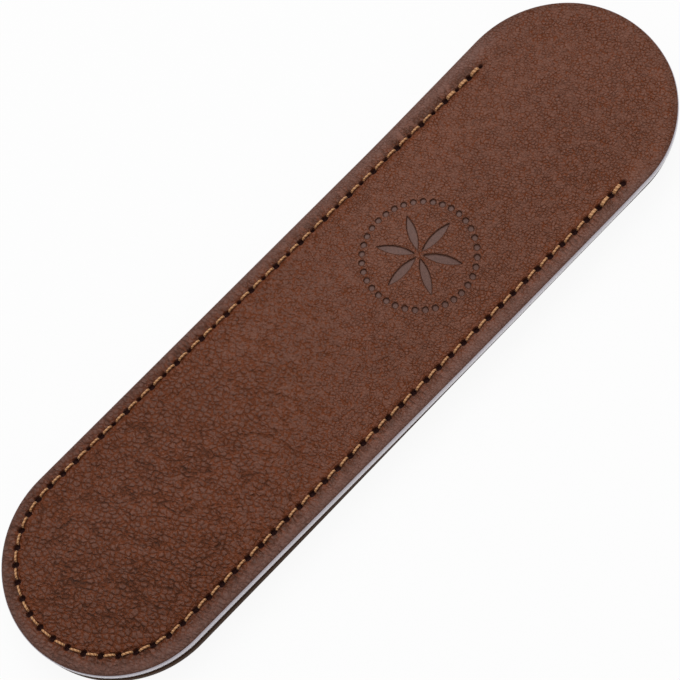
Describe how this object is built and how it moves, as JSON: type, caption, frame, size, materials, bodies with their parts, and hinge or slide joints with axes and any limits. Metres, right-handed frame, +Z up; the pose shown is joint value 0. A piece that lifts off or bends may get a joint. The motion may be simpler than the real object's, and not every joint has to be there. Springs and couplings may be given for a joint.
{
  "type": "fountain pen case",
  "caption": "Flat round-ended pebbled leather sleeve with a lined pocket, a stitched U-shaped seam and flexing lips at the mouth, for carrying a fountain pen.",
  "frame": {"origin": "under the middle of the sleeve, on the plane that its back rests on", "axes": "+Y along the sleeve towards the mouth, +Z up out of the front face, +X to the right of the front with the mouth away"},
  "size_m": [0.043, 0.16, 0.0089],
  "materials": {
    "panel_leather": "pebbled grain, satin, painted edge",
    "lining": "napped microfibre",
    "cement": "dried contact cement",
    "thread": "twisted polyester"
  },
  "bodies": {
    "sewn_sleeve": {"front_leather": "panel_leather", "front_lining": "lining", "seam_cement": "cement", "back_lining": "lining", "back_leather": "panel_leather", "needle_thread": "thread", "bobbin_thread": "thread"},
    "front_lip": {"front_lip_leather": "panel_leather", "front_lip_lining": "lining"},
    "back_lip": {"back_lip_leather": "panel_leather", "back_lip_lining": "lining"}
  },
  "joints": [
    {"name": "front_lip_flex", "type": "hinge", "parent": "sewn_sleeve", "child": "front_lip", "pos_m": [0, 0.058, 0.0089], "axis": [1, 0, 0], "range_deg": [0, 60], "stiffness_Nm_per_rad": 0.03},
    {"name": "back_lip_flex", "type": "hinge", "parent": "sewn_sleeve", "child": "back_lip", "pos_m": [0, 0.058, 0], "axis": [-1, 0, 0], "range_deg": [0, 40], "stiffness_Nm_per_rad": 0.03}
  ]
}
